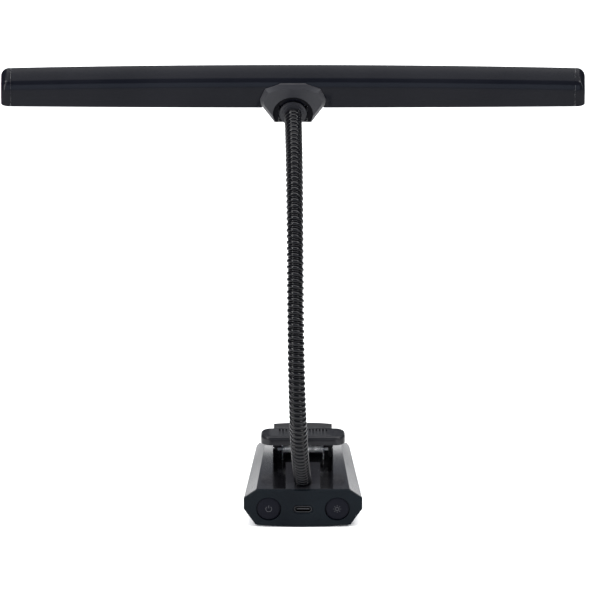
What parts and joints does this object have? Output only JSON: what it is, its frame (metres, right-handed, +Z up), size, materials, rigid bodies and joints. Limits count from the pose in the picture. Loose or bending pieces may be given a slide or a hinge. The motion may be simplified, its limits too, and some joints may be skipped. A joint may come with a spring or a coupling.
{
  "type": "piano lamp",
  "caption": "Rechargeable clip-on piano lamp with a wide LED bar on a tilting hub, a bendable gooseneck and a sprung clip base with push buttons.",
  "frame": {"origin": "on the table, in the middle of the battery housing's length, on the rubber pad's underside", "axes": "+X along the LED bar, +Y from the control panel to the clip's mouth, +Z up"},
  "size_m": [0.296, 0.1379, 0.2266],
  "materials": {
    "shell_gloss": "satin black moulded housing",
    "panel_gloss": "high-gloss black front panel",
    "button_satin": "soft satin black",
    "lever_plastic": "moulded satin black",
    "neck_coat": "gloss black lacquered coil",
    "head_coat": "satin black coated aluminium",
    "steel": "bright steel",
    "rubber": "matte black",
    "board": "green solder mask",
    "cell_foil": "silvery foil pouch",
    "switch_plastic": "black switch housing",
    "diffuser": "frosted white, lets light through",
    "led": "warm-white LED packages"
  },
  "bodies": {
    "base": {"body_shell": "shell_gloss", "bottom_cover": "lever_plastic", "front_panel": "panel_gloss", "button_switches": "switch_plastic", "control_board": "board", "usb_socket": "steel", "battery_cell": "cell_foil", "cover_screws": "steel", "rubber_feet": "rubber", "pivot_pin": "steel", "lower_jaw_pad": "rubber", "torsion_spring": "steel", "neck_collar": "neck_coat", "neck_root": "neck_coat"},
    "clip": {"clip_lever": "lever_plastic", "upper_jaw_pad": "rubber"},
    "power": {"power_button": "button_satin", "power_plunger": "switch_plastic"},
    "dimmer": {"dimmer_button": "button_satin", "dimmer_plunger": "switch_plastic"},
    "link_1": {"neck_link_1": "neck_coat"},
    "link_2": {"neck_link_2": "neck_coat"},
    "link_3": {"neck_link_3": "neck_coat"},
    "link_4": {"neck_link_4": "neck_coat"},
    "link_5": {"neck_link_5": "neck_coat"},
    "link_6": {"neck_link_6": "neck_coat"},
    "link_7": {"neck_link_7": "neck_coat"},
    "link_8": {"neck_link_8": "neck_coat"},
    "tip": {"neck_tip": "neck_coat", "neck_knuckle": "head_coat"},
    "head": {"hub": "head_coat", "tilt_pin": "steel", "friction_washers": "switch_plastic", "hub_screws": "steel", "head_housing": "head_coat", "left_end_cap": "head_coat", "right_end_cap": "head_coat", "diffuser": "diffuser", "led_board": "board", "led_chips": "led", "board_screws": "steel"}
  },
  "joints": [
    {"name": "neck_bend_1", "type": "hinge", "parent": "base", "child": "link_1", "pos_m": [-0.00038, -0.04008, 0.03378], "axis": [0.9996, 0, 0.0279], "range_deg": [-14, 14]},
    {"name": "neck_sway_2", "type": "hinge", "parent": "link_1", "child": "link_2", "pos_m": [-0.00098, -0.05563, 0.05527], "axis": [0.0132, -0.8809, -0.4731], "range_deg": [-12, 12]},
    {"name": "neck_bend_3", "type": "hinge", "parent": "link_2", "child": "link_3", "pos_m": [-0.00168, -0.06498, 0.0801], "axis": [0.9996, 0, 0.0279], "range_deg": [-14, 14]},
    {"name": "neck_sway_4", "type": "hinge", "parent": "link_3", "child": "link_4", "pos_m": [-0.00242, -0.06746, 0.10651], "axis": [-0.0011, -0.9992, 0.0392], "range_deg": [-12, 12]},
    {"name": "neck_bend_5", "type": "hinge", "parent": "link_4", "child": "link_5", "pos_m": [-0.00315, -0.06291, 0.13264], "axis": [0.9996, 0, 0.0279], "range_deg": [-14, 14]},
    {"name": "neck_sway_6", "type": "hinge", "parent": "link_5", "child": "link_6", "pos_m": [-0.00382, -0.05165, 0.15666], "axis": [-0.0151, -0.841, 0.5408], "range_deg": [-12, 12]},
    {"name": "neck_bend_7", "type": "hinge", "parent": "link_6", "child": "link_7", "pos_m": [-0.00438, -0.03445, 0.17687], "axis": [0.9996, 0, 0.0279], "range_deg": [-14, 14]},
    {"name": "neck_sway_8", "type": "hinge", "parent": "link_7", "child": "link_8", "pos_m": [-0.0048, -0.01255, 0.19185], "axis": [-0.0249, -0.4501, 0.8926], "range_deg": [-12, 12]},
    {"name": "neck_bend_9", "type": "hinge", "parent": "link_8", "child": "tip", "pos_m": [-0.00504, 0.01252, 0.20054], "axis": [0.9996, 0, 0.0279], "range_deg": [-14, 14]},
    {"name": "head_tilt", "type": "hinge", "parent": "tip", "child": "head", "pos_m": [-0.00511, 0.02477, 0.20303], "axis": [1, 0, 0], "range_deg": [-60, 6]},
    {"name": "clip_open", "type": "hinge", "parent": "base", "child": "clip", "pos_m": [0, 0.024, 0.0174], "axis": [1, 0, 0], "range_deg": [0, 20], "stiffness_Nm_per_rad": 1.3, "springref_deg": -17.19, "deforming": ["torsion_spring"]},
    {"name": "power_press", "type": "slide", "parent": "base", "child": "power", "axis": [0, 1, 0], "range_m": [0, 0.0005], "stiffness_N_per_m": 800},
    {"name": "dimmer_press", "type": "slide", "parent": "base", "child": "dimmer", "axis": [0, 1, 0], "range_m": [0, 0.0005], "stiffness_N_per_m": 800}
  ]
}
